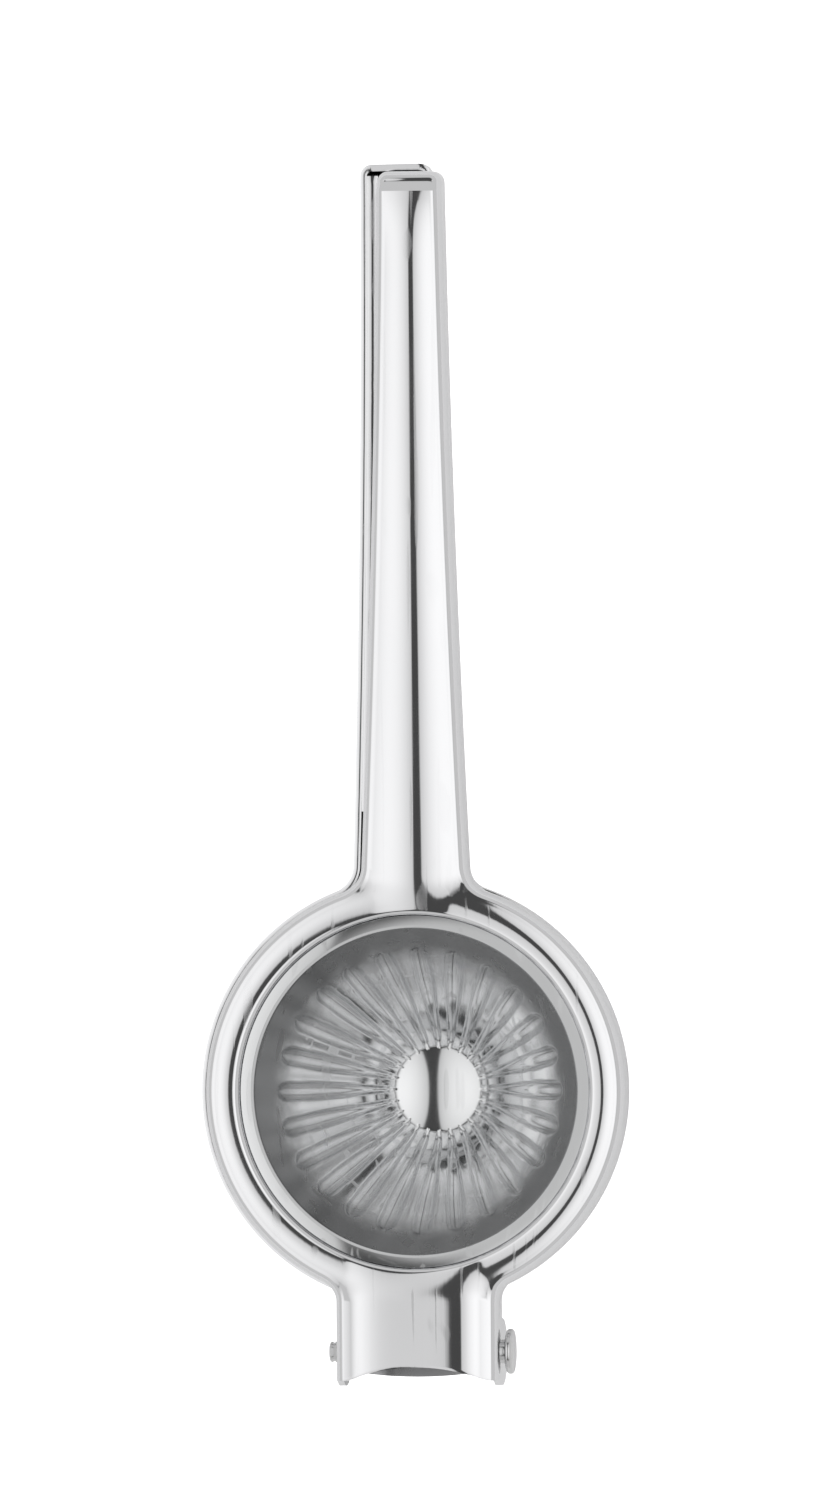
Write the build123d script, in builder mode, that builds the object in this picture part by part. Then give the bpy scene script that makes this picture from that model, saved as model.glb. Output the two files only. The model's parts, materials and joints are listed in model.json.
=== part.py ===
"""Hand citrus press: two stamped steel levers on a pin, a ribbed press cup and a perforated strainer bowl.

Millimetres. +Z is up and +Y runs from the hinge to the handle tips. The origin is the centre of the
bowl's small flat bottom, which is also the foot of the ring axis. The press is closed.
"""
import os
from math import asin, atan2, cos, hypot, radians, sin, sqrt

from build123d import *

os.makedirs("parts", exist_ok=True)

# ---- driving dimensions ------------------------------------------------------------------------
SHEET = 1.2                    # lever sheet thickness
LEVER_DEPTH = 7.0              # crown face to the edge of the side walls
LEVER_GAP = 1.0                # left between the two levers' edges when closed
SHOULDER_R = 3.0               # outside radius between crown and side wall

PIN_TO_RING = 45.9             # hinge axis to ring axis
RING_R = 37.3                  # upper ring, outside
TIP_Y = 162.0                  # upper handle tip from the ring axis
BLOCK_OVERHANG = 5.0           # the block runs this far past the hinge axis
BLOCK_HALF = 14.5              # half the hinge block's width, outside
HANDLE_HALF = (9.9, 7.15, 5.75)  # half the handle's width at its root, at its middle and at its tip
HANDLE_ROOT_Y = 30.0
HANDLE_MID_Y = 100.0
NECK_FILLET = 5.0              # handle to ring
BLOCK_FILLET = 4.0             # ring to hinge block
SEAT_OVERLAP = 0.3             # the rolled seat runs this far into the crown around it

RELIEF_DEPTH = 2.4             # the upper crown's end is cut back by a shallow arc of this depth
RELIEF_HALF_WIDTH = 13.1       # and half width

LOWER_EXTRA = 0.5              # the lower ring and handle are this much wider on each side
LOWER_TIP_EXTRA = 1.4          # and the lower handle is this much longer
LOWER_OVERHANG = 4.7           # the lower block runs this far past the hinge axis
EAR_SIDE_GAP = 0.3             # between the inner and the outer ears
SIDE_PLAY = 0.5                # the lower lever sits pushed this far to one side on the pin
PLAY_ANGLE = 0.75              # and swung by this angle in degrees, as loose ears let it

CUP_SHEET = 0.9
CUP_MOUTH_R = 29.5             # inside radius at the cup's mouth
CUP_DEPTH = 33.0               # crown face to the inside of the cup's bottom
CUP_CAP_R = 14.0               # inside radius of the round bottom that the straight wall runs into
BOWL_SHEET = 1.0
BOWL_GAP = 3.2                 # between the cup and the bowl, for the spent peel
BOWL_FLAT_R = 6.0              # radius of the bowl's flat bottom

SEAT_DROP = 2.4                # the ring's inner seat lies this far behind the crown face
SEAT_STEP = 0.2                # straight step between the rolled edge and the seat
CUP_FLANGE = 1.0               # the cup's flange stands this far over the edge of its seat
FIT_GAP = 0.1                  # between a cup and the ring around it

RIB_COUNT = 24
RIB_DEPTH = 0.4                # how deep a groove is pressed into the cup's inside
RIB_OUTER = (25.0, 1.6)        # a groove's outer end: distance from the cup's axis, tool radius
RIB_INNER = (12.0, 0.6)        # and its inner end

PIN_R = 2.1
RUNNING_GAP = 0.05             # radial, pin to the upper ears' holes
SEATED_GAP = 0.02              # radial, pin to the lower ears' holes
HEAD_R = 4.0
HEAD_THICK = 1.25
HEAD_GAP = 0.8                 # pin head to the outer ear
PIN_TAIL = 1.9                 # pin end beyond the other outer ear
OUTER_EAR_R = 6.0
INNER_EAR_R = 4.8

BOWL_FLANGE = 2.0              # the bowl's flange stands this far over the edge of its seat
HOLE_R = 1.3                   # strainer holes
HOLE_RINGS = ((4.0, 6), (9.0, 12), (13.8, 24), (17.6, 24), (21.4, 24))  # radius and number of holes

# ---- levels that follow -------------------------------------------------------------------------
cup_outer_r = CUP_CAP_R + CUP_SHEET
bowl_inner_r = cup_outer_r + BOWL_GAP
bowl_outer_r = bowl_inner_r + BOWL_SHEET
cap_z = sqrt(bowl_outer_r**2 - BOWL_FLAT_R**2)     # all four round bottoms share this centre
upper_crown_z = cap_z - CUP_CAP_R + CUP_DEPTH
lower_crown_z = upper_crown_z - 2 * LEVER_DEPTH - LEVER_GAP
pin_z = (upper_crown_z + lower_crown_z) / 2
pin_y = -PIN_TO_RING * cos(radians(PLAY_ANGLE))
pin_depth = upper_crown_z - pin_z
cup_seat_z = upper_crown_z - SEAT_DROP
cup_top_z = cup_seat_z + CUP_SHEET
bowl_under_z = lower_crown_z + SEAT_DROP + SHEET
bowl_top_z = bowl_under_z + BOWL_SHEET

# the walls of cup and bowl are parallel cones, at this angle above the horizontal
mouth_rise = cup_top_z - cap_z
wall_angle = atan2(mouth_rise, CUP_MOUTH_R) + asin(CUP_CAP_R / hypot(CUP_MOUTH_R, mouth_rise))

play = radians(PLAY_ANGLE)
lower_x = PIN_TO_RING * sin(play)      # middle of the lower lever's ears on the hinge axis
upper_x = lower_x + SIDE_PLAY          # middle of the upper lever, its ring and its cup
ring_in_lever = (0, PIN_TO_RING)       # ring centre in a lever's own plan, drawn from the hinge axis

upper_plane = Plane(origin=(upper_x, pin_y, upper_crown_z), x_dir=(-1, 0, 0), z_dir=(0, 0, -1))
lower_plane = Plane(
    origin=(lower_x, pin_y, lower_crown_z),
    x_dir=(cos(play), sin(play), 0),
    z_dir=(0, 0, 1),
)
cup_plane = Plane(origin=(upper_x, pin_y + PIN_TO_RING, 0))
cup_section = Plane(origin=cup_plane.origin, x_dir=(1, 0, 0), z_dir=(0, -1, 0))

outer_ear_inside = BLOCK_HALF - SHEET
inner_block_half = outer_ear_inside - EAR_SIDE_GAP - SIDE_PLAY


# ---- shared shapes ------------------------------------------------------------------------------
def lever_outline(plane, inset, ring_r, halves, tip_y, block_half, end_overhang):
    """Plan outline of a lever, drawn from its hinge axis: handle, ring and hinge block."""
    root_half, mid_half, tip_half = (half - inset for half in halves)
    root_y, mid_y = (y + PIN_TO_RING for y in (HANDLE_ROOT_Y, HANDLE_MID_Y))
    top_y = tip_y + PIN_TO_RING - inset
    with BuildSketch(plane) as outline:
        with Locations(ring_in_lever):
            Circle(ring_r - inset)
        with BuildLine():
            Polyline((root_half, root_y), (mid_half, mid_y), (tip_half, top_y), (-tip_half, top_y),
                     (-mid_half, mid_y), (-root_half, root_y), close=True)
        make_face()
        with Locations((0, -end_overhang)):
            Rectangle(2 * (block_half - inset), PIN_TO_RING, align=(Align.CENTER, Align.MIN))
        inner = outline.vertices().filter_by(lambda v: abs(v.X) > tip_half + SHEET and v.Y > 0)
        necks = inner.filter_by(lambda v: v.Y > PIN_TO_RING)
        corners = inner.filter_by(lambda v: v.Y < PIN_TO_RING)
        fillet(necks, radius=NECK_FILLET + inset)
        fillet(corners, radius=BLOCK_FILLET + inset)
    return outline.sketch


def lever_pressing(plane, ring_r, halves, tip_y, block_half, overhang):
    """A stamped channel: crown at the plane, side walls LEVER_DEPTH deep, open at the hinge end."""
    with BuildPart() as pressing:
        extrude(lever_outline(plane, 0, ring_r, halves, tip_y, block_half, overhang), amount=LEVER_DEPTH)
        crown = pressing.faces().filter_by(Axis.Z).sort_by(Axis.Z, reverse=plane.z_dir.Z < 0)[0]
        end_edge = crown.edges().sort_by(Axis.Y)[0]
        fillet([edge for edge in crown.edges() if edge != end_edge], radius=SHOULDER_R)
    with BuildPart() as hollow:
        inside = plane.offset(SHEET)
        extrude(
            lever_outline(inside, SHEET, ring_r, halves, tip_y, block_half, overhang + SHEET),
            amount=LEVER_DEPTH,
        )
        crown = hollow.faces().filter_by(Axis.Z).sort_by(Axis.Z, reverse=plane.z_dir.Z < 0)[0]
        end_edge = crown.edges().sort_by(Axis.Y)[0]
        fillet([edge for edge in crown.edges() if edge != end_edge], radius=SHOULDER_R - SHEET)
    with BuildPart() as channel:
        add(pressing.part)
        add(hollow.part, mode=Mode.SUBTRACT)
    return channel.part


def ring_seat(plane, seat_r, hole_r):
    """The ring's inner edge: the crown rolls down behind itself to a flat seat for a cup's flange."""
    roll_r = SEAT_DROP - SEAT_STEP
    crown_r = seat_r + roll_r
    section_plane = Plane(origin=plane.from_local_coords(Vector(0, PIN_TO_RING, 0)), x_dir=plane.x_dir,
                          z_dir=plane.x_dir.cross(plane.z_dir))
    with BuildPart() as seat:
        with BuildSketch(section_plane):
            with BuildLine():
                Line((crown_r + SEAT_OVERLAP, 0), (crown_r, 0))
                RadiusArc((crown_r, 0), (seat_r, roll_r), roll_r)
                Line((seat_r, roll_r), (seat_r, SEAT_DROP))
                Line((seat_r, SEAT_DROP), (hole_r, SEAT_DROP))
                Line((hole_r, SEAT_DROP), (hole_r, SEAT_DROP + SHEET))
                Line((hole_r, SEAT_DROP + SHEET), (seat_r + SHEET, SEAT_DROP + SHEET))
                Line((seat_r + SHEET, SEAT_DROP + SHEET), (seat_r + SHEET, roll_r))
                RadiusArc((seat_r + SHEET, roll_r), (crown_r, SHEET), -(roll_r - SHEET))
                Line((crown_r, SHEET), (crown_r + SEAT_OVERLAP, SHEET))
                Line((crown_r + SEAT_OVERLAP, SHEET), (crown_r + SEAT_OVERLAP, 0))
            make_face()
        revolve(axis=Axis(section_plane.origin, plane.z_dir))
    return seat.part, crown_r


def ear(plane, inner_x, outline_r, side):
    """A flat ear that hangs from a side wall and rounds off about the hinge axis."""
    thick_dir = plane.x_dir * side
    ear_plane = Plane(
        origin=plane.from_local_coords(Vector(side * inner_x, 0, 0)),
        x_dir=plane.y_dir,
        z_dir=thick_dir,
    )
    depth_sign = 1 if ear_plane.y_dir.dot(plane.z_dir) > 0 else -1
    with BuildPart() as tab:
        with BuildSketch(ear_plane):
            with Locations((0, depth_sign * pin_depth)):
                Circle(outline_r)
            with Locations((0, depth_sign * (SHOULDER_R + pin_depth) / 2)):
                Rectangle(2 * outline_r, pin_depth - SHOULDER_R)
            with Locations((-outline_r, depth_sign * pin_depth / 2)):
                Rectangle(2 * (outline_r - BLOCK_OVERHANG), pin_depth, mode=Mode.SUBTRACT)
        extrude(amount=SHEET)
    return tab.part


def wall_r(cap_r, z):
    """Radius at height z of the cone that runs into a round bottom of radius cap_r."""
    return (cap_r + (z - cap_z) * cos(wall_angle)) / sin(wall_angle)


def cap_joint(cap_r):
    """Where a cone and its round bottom meet, as (radius, height)."""
    return cap_r * sin(wall_angle), cap_z - cap_r * cos(wall_angle)


def pin_holes(radius):
    """A bar along the hinge axis, to cut the ears with."""
    with BuildPart() as bar:
        with BuildSketch(Plane.YZ.offset(upper_x - 2 * BLOCK_HALF)):
            with Locations((pin_y, pin_z)):
                Circle(radius)
        extrude(amount=4 * BLOCK_HALF)
    return bar.part


# ---- upper lever --------------------------------------------------------------------------------
cup_hole_r = wall_r(cup_outer_r, cup_seat_z) + FIT_GAP
cup_flange_r = cup_hole_r + CUP_FLANGE
upper_seat, upper_crown_r = ring_seat(upper_plane, cup_flange_r + FIT_GAP, cup_hole_r)

relief_r = (RELIEF_HALF_WIDTH**2 + RELIEF_DEPTH**2) / (2 * RELIEF_DEPTH)

with BuildPart() as upper_lever:
    add(lever_pressing(upper_plane, RING_R, HANDLE_HALF, TIP_Y, BLOCK_HALF, BLOCK_OVERHANG))
    with BuildSketch(upper_plane):
        with Locations(ring_in_lever):
            Circle(upper_crown_r + SEAT_OVERLAP / 2)
    extrude(amount=LEVER_DEPTH, mode=Mode.SUBTRACT)
    add(upper_seat)
    add(ear(upper_plane, outer_ear_inside, OUTER_EAR_R, 1))
    add(ear(upper_plane, outer_ear_inside, OUTER_EAR_R, -1))
    with BuildSketch(upper_plane):
        with Locations((0, RELIEF_DEPTH - BLOCK_OVERHANG - relief_r)):
            Circle(relief_r)
    extrude(amount=SHOULDER_R, mode=Mode.SUBTRACT)
    add(pin_holes(PIN_R + RUNNING_GAP), mode=Mode.SUBTRACT)
upper_lever.part.label = "upper_lever"

# ---- lower lever --------------------------------------------------------------------------------
bowl_neck_r = wall_r(bowl_outer_r, bowl_under_z)
bowl_hole_r = bowl_neck_r + 2 * FIT_GAP
bowl_flange_r = bowl_hole_r + BOWL_FLANGE
lower_seat, lower_crown_r = ring_seat(lower_plane, bowl_flange_r + FIT_GAP, bowl_hole_r)
lower_halves = tuple(half + LOWER_EXTRA for half in HANDLE_HALF)

with BuildPart() as lower_lever:
    add(
        lever_pressing(
            lower_plane,
            RING_R + LOWER_EXTRA,
            lower_halves,
            TIP_Y + LOWER_TIP_EXTRA,
            inner_block_half,
            LOWER_OVERHANG,
        )
    )
    with BuildSketch(lower_plane):
        with Locations(ring_in_lever):
            Circle(lower_crown_r + SEAT_OVERLAP / 2)
    extrude(amount=LEVER_DEPTH, mode=Mode.SUBTRACT)
    add(lower_seat)
    add(ear(lower_plane, inner_block_half - SHEET, INNER_EAR_R, 1))
    add(ear(lower_plane, inner_block_half - SHEET, INNER_EAR_R, -1))
    add(pin_holes(PIN_R + SEATED_GAP), mode=Mode.SUBTRACT)
lower_lever.part.label = "lower_lever"

# ---- press cup ----------------------------------------------------------------------------------
def groove_centre(distance, tool_r):
    """A point of the groove tool's axis, so that the tool dips RIB_DEPTH into the cup's wall."""
    wall_z = cap_z + (distance * sin(wall_angle) - CUP_CAP_R) / cos(wall_angle)
    lift = tool_r - RIB_DEPTH
    return Vector(distance - lift * sin(wall_angle), 0, wall_z + lift * cos(wall_angle))


groove_from = groove_centre(*RIB_OUTER)
groove_run = groove_centre(*RIB_INNER) - groove_from
with BuildPart(Plane(origin=groove_from, z_dir=groove_run)) as groove_tool:
    Cone(RIB_OUTER[1], RIB_INNER[1], groove_run.length, align=(Align.CENTER, Align.CENTER, Align.MIN))

with BuildPart(cup_plane) as press_cup:
    with BuildSketch(cup_section):
        with BuildLine():
            RadiusArc((0, cap_z - cup_outer_r), cap_joint(cup_outer_r), -cup_outer_r)
            Line(cap_joint(cup_outer_r), (wall_r(cup_outer_r, cup_seat_z), cup_seat_z))
            Line((wall_r(cup_outer_r, cup_seat_z), cup_seat_z), (cup_flange_r, cup_seat_z))
            Line((cup_flange_r, cup_seat_z), (cup_flange_r, cup_top_z))
            Line((cup_flange_r, cup_top_z), (CUP_MOUTH_R, cup_top_z))
            Line((CUP_MOUTH_R, cup_top_z), cap_joint(CUP_CAP_R))
            RadiusArc(cap_joint(CUP_CAP_R), (0, cap_z - CUP_CAP_R), CUP_CAP_R)
            Line((0, cap_z - CUP_CAP_R), (0, cap_z - cup_outer_r))
        make_face()
    revolve(axis=Axis(cup_plane.origin, (0, 0, 1)))
    with PolarLocations(0, RIB_COUNT):
        add(groove_tool.part, mode=Mode.SUBTRACT)
press_cup.part.label = "press_cup"

# ---- strainer bowl ------------------------------------------------------------------------------
bowl_mouth_r = wall_r(bowl_inner_r, bowl_top_z)
bowl_floor_r = sqrt(bowl_inner_r**2 - (cap_z - BOWL_SHEET) ** 2)

with BuildPart() as strainer_bowl:
    with BuildSketch(Plane.XZ):
        with BuildLine():
            Line((0, 0), (BOWL_FLAT_R, 0))
            RadiusArc((BOWL_FLAT_R, 0), cap_joint(bowl_outer_r), -bowl_outer_r)
            Line(cap_joint(bowl_outer_r), (bowl_neck_r, bowl_under_z))
            Line((bowl_neck_r, bowl_under_z), (bowl_flange_r, bowl_under_z))
            Line((bowl_flange_r, bowl_under_z), (bowl_flange_r, bowl_top_z))
            Line((bowl_flange_r, bowl_top_z), (bowl_mouth_r, bowl_top_z))
            Line((bowl_mouth_r, bowl_top_z), cap_joint(bowl_inner_r))
            RadiusArc(cap_joint(bowl_inner_r), (bowl_floor_r, BOWL_SHEET), bowl_inner_r)
            Line((bowl_floor_r, BOWL_SHEET), (0, BOWL_SHEET))
            Line((0, BOWL_SHEET), (0, 0))
        make_face()
    revolve(axis=Axis.Z)
    with BuildSketch(Plane.XY):
        for ring_radius, hole_count in HOLE_RINGS:
            with PolarLocations(ring_radius, hole_count):
                Circle(HOLE_R)
    extrude(amount=bowl_top_z, mode=Mode.SUBTRACT)
strainer_bowl.part.label = "strainer_bowl"

# ---- hinge pin ----------------------------------------------------------------------------------
pin_length = 2 * BLOCK_HALF + PIN_TAIL + HEAD_GAP
head_plane = Plane.YZ.offset(upper_x + BLOCK_HALF + HEAD_GAP)
tail_plane = Plane.YZ.offset(upper_x - BLOCK_HALF - PIN_TAIL)

with BuildPart() as hinge_pin:
    with BuildSketch(tail_plane):
        with Locations((pin_y, pin_z)):
            Circle(PIN_R)
    extrude(amount=pin_length)
    with BuildSketch(head_plane):
        with Locations((pin_y, pin_z)):
            Circle(HEAD_R)
    extrude(amount=HEAD_THICK)
    rims = hinge_pin.edges().filter_by(GeomType.CIRCLE).filter_by(lambda edge: edge.radius > PIN_R + 1)
    fillet(rims, radius=HEAD_THICK * 0.4)
    tail_rim = hinge_pin.edges().filter_by(GeomType.CIRCLE).sort_by(Axis.X)[0]
    chamfer(tail_rim, length=0.4)
hinge_pin.part.label = "hinge_pin"

# ---- files --------------------------------------------------------------------------------------
print("upper lever's middle x:", round(upper_x, 2), "lower lever's at the hinge:", round(lower_x, 2))
print("pin axis y, z:", round(pin_y, 2), round(pin_z, 2), "upper crown z:", round(upper_crown_z, 2))
for piece in (upper_lever, lower_lever, press_cup, strainer_bowl, hinge_pin):
    export_step(piece.part, f"parts/{piece.part.label}.step")
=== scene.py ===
# %% [markdown]
# # A hand citrus press in polished steel
#
# The press is two stamped sheet levers that turn on one pin. A ribbed cup hangs in the upper ring and
# a perforated bowl in the lower ring. The engineering model is loaded first and stays fixed. This
# script gives the sheet its crowned, rolled form and every surface its finish.

# %% The fixed frame
import json
from math import acos, asin, atan2, cos, degrees, hypot, pi, radians, sin, sqrt, tan

import bmesh
import bpy
from mathutils import Matrix, Vector


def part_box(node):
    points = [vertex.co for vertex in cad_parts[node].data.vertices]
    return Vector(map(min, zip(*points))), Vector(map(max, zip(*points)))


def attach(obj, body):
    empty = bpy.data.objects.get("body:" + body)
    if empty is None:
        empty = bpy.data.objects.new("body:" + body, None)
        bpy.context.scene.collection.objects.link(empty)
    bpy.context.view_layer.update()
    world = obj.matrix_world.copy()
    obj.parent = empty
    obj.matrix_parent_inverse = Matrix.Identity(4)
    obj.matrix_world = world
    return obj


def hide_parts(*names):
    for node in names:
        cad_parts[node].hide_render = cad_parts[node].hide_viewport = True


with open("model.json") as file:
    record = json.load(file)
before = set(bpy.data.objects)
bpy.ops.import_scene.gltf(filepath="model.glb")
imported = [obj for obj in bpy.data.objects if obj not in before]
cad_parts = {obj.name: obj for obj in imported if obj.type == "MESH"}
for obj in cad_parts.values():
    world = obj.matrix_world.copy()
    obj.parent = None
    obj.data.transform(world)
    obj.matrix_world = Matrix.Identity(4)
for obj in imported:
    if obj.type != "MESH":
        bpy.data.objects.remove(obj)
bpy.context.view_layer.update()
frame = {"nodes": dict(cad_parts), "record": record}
hinge = Vector(frame["record"]["behaviour"]["joints"][0]["pos_m"])
MM = 0.001
print("hinge axis at", [round(value, 4) for value in hinge], "nodes", sorted(frame["nodes"]))

# %% [markdown]
# Every place on the press is read from the frame's boxes: the cup's box gives the upper ring's centre,
# and each lever's box gives its crown face, ring radius and tip. Only bends that a box can't tell,
# such as the sheet's shoulder, are values of this script.

# %% Places read from the frame
upper_lo, upper_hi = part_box("upper_lever")
lower_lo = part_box("lower_lever")[0]
cup_lo, cup_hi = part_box("press_cup")
pin_lo, pin_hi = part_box("hinge_pin")
ring_centre = (cup_lo + cup_hi) / 2
crown_z = upper_hi.z
SHEET = 1.2 * MM
WALL_DEPTH = 7 * MM
print("upper ring centre", round(ring_centre.x, 4), round(ring_centre.y, 4), "crown z", round(crown_z, 4))

# %% [markdown]
# ## Camera, floor and light
#
# A long lens looks almost straight down and leans towards the pin's head, so that the deep cup's
# bottom shifts to that side. Mirror steel shows its room, so the light is planned as directions: two
# large softboxes with round corners and a narrow dark gap between them, a dark ceiling past them and
# pale walls low down.

# %% Camera
VIEW_LEAN = radians(8.5)
VIEW_DISTANCE = 4.0            # metres, for a long lens
VIEW_ROLL = radians(0.42)      # the press lies turned by this much to the left
VIEW_HEIGHT = 263.8 * MM       # what the view's height takes in at the press
RING_RIGHT, RING_BELOW = 0.56 * MM, 60.1 * MM    # the ring's place from the middle of the view
SENSOR = 36.0
lean = Vector((sin(VIEW_LEAN), 0, cos(VIEW_LEAN)))
roll = Matrix.Rotation(-VIEW_ROLL, 3, lean)
across = roll @ Vector((cos(VIEW_LEAN), 0, -sin(VIEW_LEAN)))
up_turn = roll @ Vector((0, 1, 0))
aim = Vector((ring_centre.x, ring_centre.y, crown_z)) - across * RING_RIGHT + up_turn * RING_BELOW
lens_camera = bpy.data.cameras.new("studio_camera")
lens_camera.sensor_width = SENSOR
lens_camera.lens = SENSOR * VIEW_DISTANCE / VIEW_HEIGHT
camera = bpy.data.objects.new("studio_camera", lens_camera)
camera.location = aim + lean * VIEW_DISTANCE
camera.matrix_world = Matrix((
    (across.x, up_turn.x, lean.x, camera.location.x),
    (across.y, up_turn.y, lean.y, camera.location.y),
    (across.z, up_turn.z, lean.z, camera.location.z),
    (0, 0, 0, 1),
))
bpy.context.collection.objects.link(camera)
bpy.context.scene.camera = camera
bpy.context.scene.view_settings.view_transform = "Standard"
print("camera lens", round(lens_camera.lens, 1), "mm, aimed at", [round(value, 4) for value in aim])

# %% [markdown]
# A material or a sky is a tree of nodes. Three small helpers add the nodes that come again and again,
# so that the steps below read like the sums they stand for.

# %% Node helpers
def link(tree, source, target):
    """Joins an output to an input, or sets the input when the source is a plain number or colour."""
    if hasattr(source, "is_output"):
        tree.links.new(source, target)
    else:
        target.default_value = source


def calc(tree, operation, *values):
    """One math node; values are sockets or numbers."""
    node = tree.nodes.new("ShaderNodeMath")
    node.operation = operation
    for value, socket in zip(values, node.inputs):
        link(tree, value, socket)
    return node.outputs[0]


def smooth_step(tree, value, low, high):
    """0 below low, 1 above high, smooth between."""
    node = tree.nodes.new("ShaderNodeMapRange")
    node.interpolation_type = "SMOOTHSTEP"
    for socket, item in zip(node.inputs, (value, low, high, 0.0, 1.0)):
        link(tree, item, socket)
    return node.outputs["Result"]


print("node helpers", [helper.__name__ for helper in (link, calc, smooth_step)])

# %% [markdown]
# The sky is black and white only: a direction's angles from straight up say how bright it is. Each
# softbox is brightest in its middle and falls off to its edge, as a real one with one lamp does. The
# camera itself sees a plain white backdrop instead.

# %% Studio light
GAP_LEAN = -3.5                # the gap's angle from straight up, in degrees
GAP_HALF = 3.3                 # half its width, in degrees
SOFTBOX_REACH = (23.0, 44.0)   # half a softbox's size, across and along the handle, in degrees
SQUARENESS = 2.4               # 2 is an oval softbox, more is squarer
SOFTBOX_EDGE = (0.96, 1.03)    # a softbox fades out between these shares of its size
LEFT_GLOW, RIGHT_GLOW = 1.06, 1.12
EDGE_GLOW = 0.62
WALLS_FROM = (43.0, 51.0)      # the walls fade in between these angles from straight up
WALLS_GLOW = 0.58
ROOM_GLOW = 0.07
studio = bpy.data.worlds.new("studio")
bpy.context.scene.world = studio
studio.use_nodes = True
sky = studio.node_tree
sky.nodes.clear()
direction = sky.nodes.new("ShaderNodeTexCoord").outputs["Generated"]
parts = sky.nodes.new("ShaderNodeSeparateXYZ")
link(sky, direction, parts.inputs[0])
side_angle = calc(sky, "DEGREES", calc(sky, "ARCTAN2", parts.outputs["X"], parts.outputs["Z"]))
long_angle = calc(sky, "DEGREES", calc(sky, "ARCTAN2", parts.outputs["Y"], parts.outputs["Z"]))
from_top = calc(sky, "DEGREES", calc(sky, "ARCCOSINE", parts.outputs["Z"]))


def softbox(side, strength):
    """One softbox on one side of the gap, as a smooth mask times its brightness."""
    middle = GAP_LEAN + side * (GAP_HALF + SOFTBOX_REACH[0])
    u = calc(sky, "DIVIDE", calc(sky, "SUBTRACT", side_angle, middle), SOFTBOX_REACH[0])
    v = calc(sky, "DIVIDE", long_angle, SOFTBOX_REACH[1])
    powers = [calc(sky, "POWER", calc(sky, "ABSOLUTE", value), SQUARENESS) for value in (u, v)]
    radius = calc(sky, "POWER", calc(sky, "ADD", *powers), 1 / SQUARENESS)
    inside = calc(sky, "SUBTRACT", 1.0, smooth_step(sky, radius, *SOFTBOX_EDGE))
    hot = calc(sky, "SUBTRACT", 1.0, calc(sky, "MULTIPLY", radius, radius))
    fading = calc(sky, "ADD", EDGE_GLOW, calc(sky, "MULTIPLY", hot, strength - EDGE_GLOW))
    return calc(sky, "MULTIPLY", inside, fading)


walls = calc(sky, "MULTIPLY", smooth_step(sky, from_top, *WALLS_FROM), WALLS_GLOW)
boxes = calc(sky, "ADD", softbox(-1, LEFT_GLOW), softbox(1, RIGHT_GLOW))
level = calc(sky, "ADD", calc(sky, "MAXIMUM", walls, boxes), ROOM_GLOW)
glow = sky.nodes.new("ShaderNodeBackground")
glow.inputs["Color"].default_value = (1, 1, 1, 1)
link(sky, level, glow.inputs["Strength"])
backdrop = sky.nodes.new("ShaderNodeBackground")
backdrop.inputs["Color"].default_value = (1, 1, 1, 1)
seen = sky.nodes.new("ShaderNodeMixShader")
link(sky, sky.nodes.new("ShaderNodeLightPath").outputs["Is Camera Ray"], seen.inputs[0])
link(sky, glow.outputs[0], seen.inputs[1])
link(sky, backdrop.outputs[0], seen.inputs[2])
link(sky, seen.outputs[0], sky.nodes.new("ShaderNodeOutputWorld").inputs["Surface"])
print("softboxes reach", SOFTBOX_REACH, "degrees, gap", 2 * GAP_HALF, "degrees")

# %% [markdown]
# The floor is white paper. It looks bright to the camera, but it glows only a little towards the
# press, because a bright floor would wash out the dark side walls of the levers.

# %% Floor
REACH = 1.5                    # half the floor's side, in metres
FLOOR_BELOW = 0.2 * MM         # the paper lies this far under the press
FLOOR_GLOW, FLOOR_SEEN = 0.12, 0.98
floor_mesh = bpy.data.meshes.new("studio_floor")
floor_mesh.from_pydata([(-REACH, -REACH, 0), (REACH, -REACH, 0), (REACH, REACH, 0), (-REACH, REACH, 0)],
                       [], [(0, 1, 2, 3)])
floor = bpy.data.objects.new("studio_floor", floor_mesh)
bpy.context.collection.objects.link(floor)
floor.location.z = -FLOOR_BELOW
paper = bpy.data.materials.new("white_paper")
paper.use_nodes = True
paper_shader = paper.node_tree.nodes["Principled BSDF"]
paper_shader.inputs["Base Color"].default_value = (0.9, 0.9, 0.9, 1)
paper_shader.inputs["Roughness"].default_value = 0.9
paper_shader.inputs["Emission Color"].default_value = (1, 1, 1, 1)
shown = paper.node_tree.nodes.new("ShaderNodeLightPath").outputs["Is Camera Ray"]
floor_glow = calc(paper.node_tree, "MULTIPLY_ADD", shown, FLOOR_SEEN - FLOOR_GLOW, FLOOR_GLOW)
link(paper.node_tree, floor_glow, paper_shader.inputs["Emission Strength"])
floor_mesh.materials.append(paper)
print("floor", 2 * REACH, "m square")

# %% [markdown]
# ## Finishes
#
# Polished sheet is never a perfect mirror: a buffing wheel leaves faint parallel lines, use adds
# single fine scratches, and fingers leave soft patches. Those three effects are shader groups, built
# once, and each steel uses them with its own strengths.

# %% Shader group: fine scratches
def new_group(name, inputs, outputs):
    """An empty shader group with named number inputs and outputs, and its two ends."""
    tree = bpy.data.node_groups.new(name, "ShaderNodeTree")
    for title, value in inputs:
        socket = tree.interface.new_socket(title, in_out="INPUT", socket_type="NodeSocketFloat")
        socket.default_value = value
    for title in outputs:
        tree.interface.new_socket(title, in_out="OUTPUT", socket_type="NodeSocketFloat")
    return tree, tree.nodes.new("NodeGroupInput"), tree.nodes.new("NodeGroupOutput")


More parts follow.
